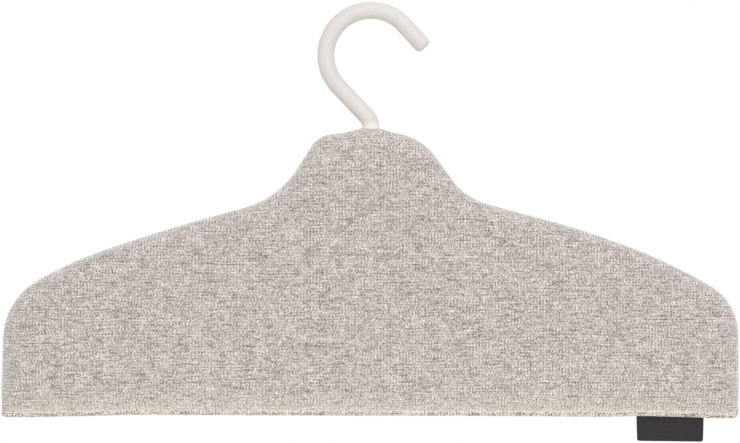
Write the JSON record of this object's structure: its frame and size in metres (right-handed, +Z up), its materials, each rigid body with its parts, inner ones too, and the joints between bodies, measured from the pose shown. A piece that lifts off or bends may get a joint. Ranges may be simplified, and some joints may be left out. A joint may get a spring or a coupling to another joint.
{
  "type": "steaming hanger",
  "caption": "Padded fabric-covered hanger board with a swivelling steel rod hook, which holds a garment in shape while it is steamed.",
  "frame": {"origin": "the saddle of the hook: the inside top of its bowl, where the rail bears", "axes": "+Z up along the swivel axis, -Y out of the front face, +X to the right seen from the front, the side that the hook opens to"},
  "size_m": [0.4416, 0.0276, 0.2634],
  "materials": {
    "powder_coat": "satin powder coat",
    "zinc": "zinc plated",
    "acetal": "as moulded",
    "shell_plastic": "as moulded",
    "foam": "open-cell foam",
    "cover_fabric": "melange weave",
    "ribbon": "woven ribbon"
  },
  "bodies": {
    "hook_assembly": {"hook": "powder_coat", "thrust_washer": "zinc", "lock_nut": "zinc"},
    "hanger_board": {"swivel_bush": "acetal", "front_shell": "shell_plastic", "rear_shell": "shell_plastic", "shell_screw_1": "zinc", "shell_screw_2": "zinc", "shell_screw_3": "zinc", "shell_screw_4": "zinc", "shell_screw_5": "zinc", "shell_screw_6": "zinc", "shell_screw_7": "zinc", "shell_screw_8": "zinc", "shell_screw_9": "zinc", "front_pad": "foam", "rear_pad": "foam", "cover_front": "cover_fabric", "cover_rear": "cover_fabric", "label": "ribbon"}
  },
  "joints": [
    {"name": "hook_swivel", "type": "hinge", "parent": "hook_assembly", "child": "hanger_board", "pos_m": [0, 0, -0.0664], "axis": [0, 0, 1], "continuous": true}
  ]
}
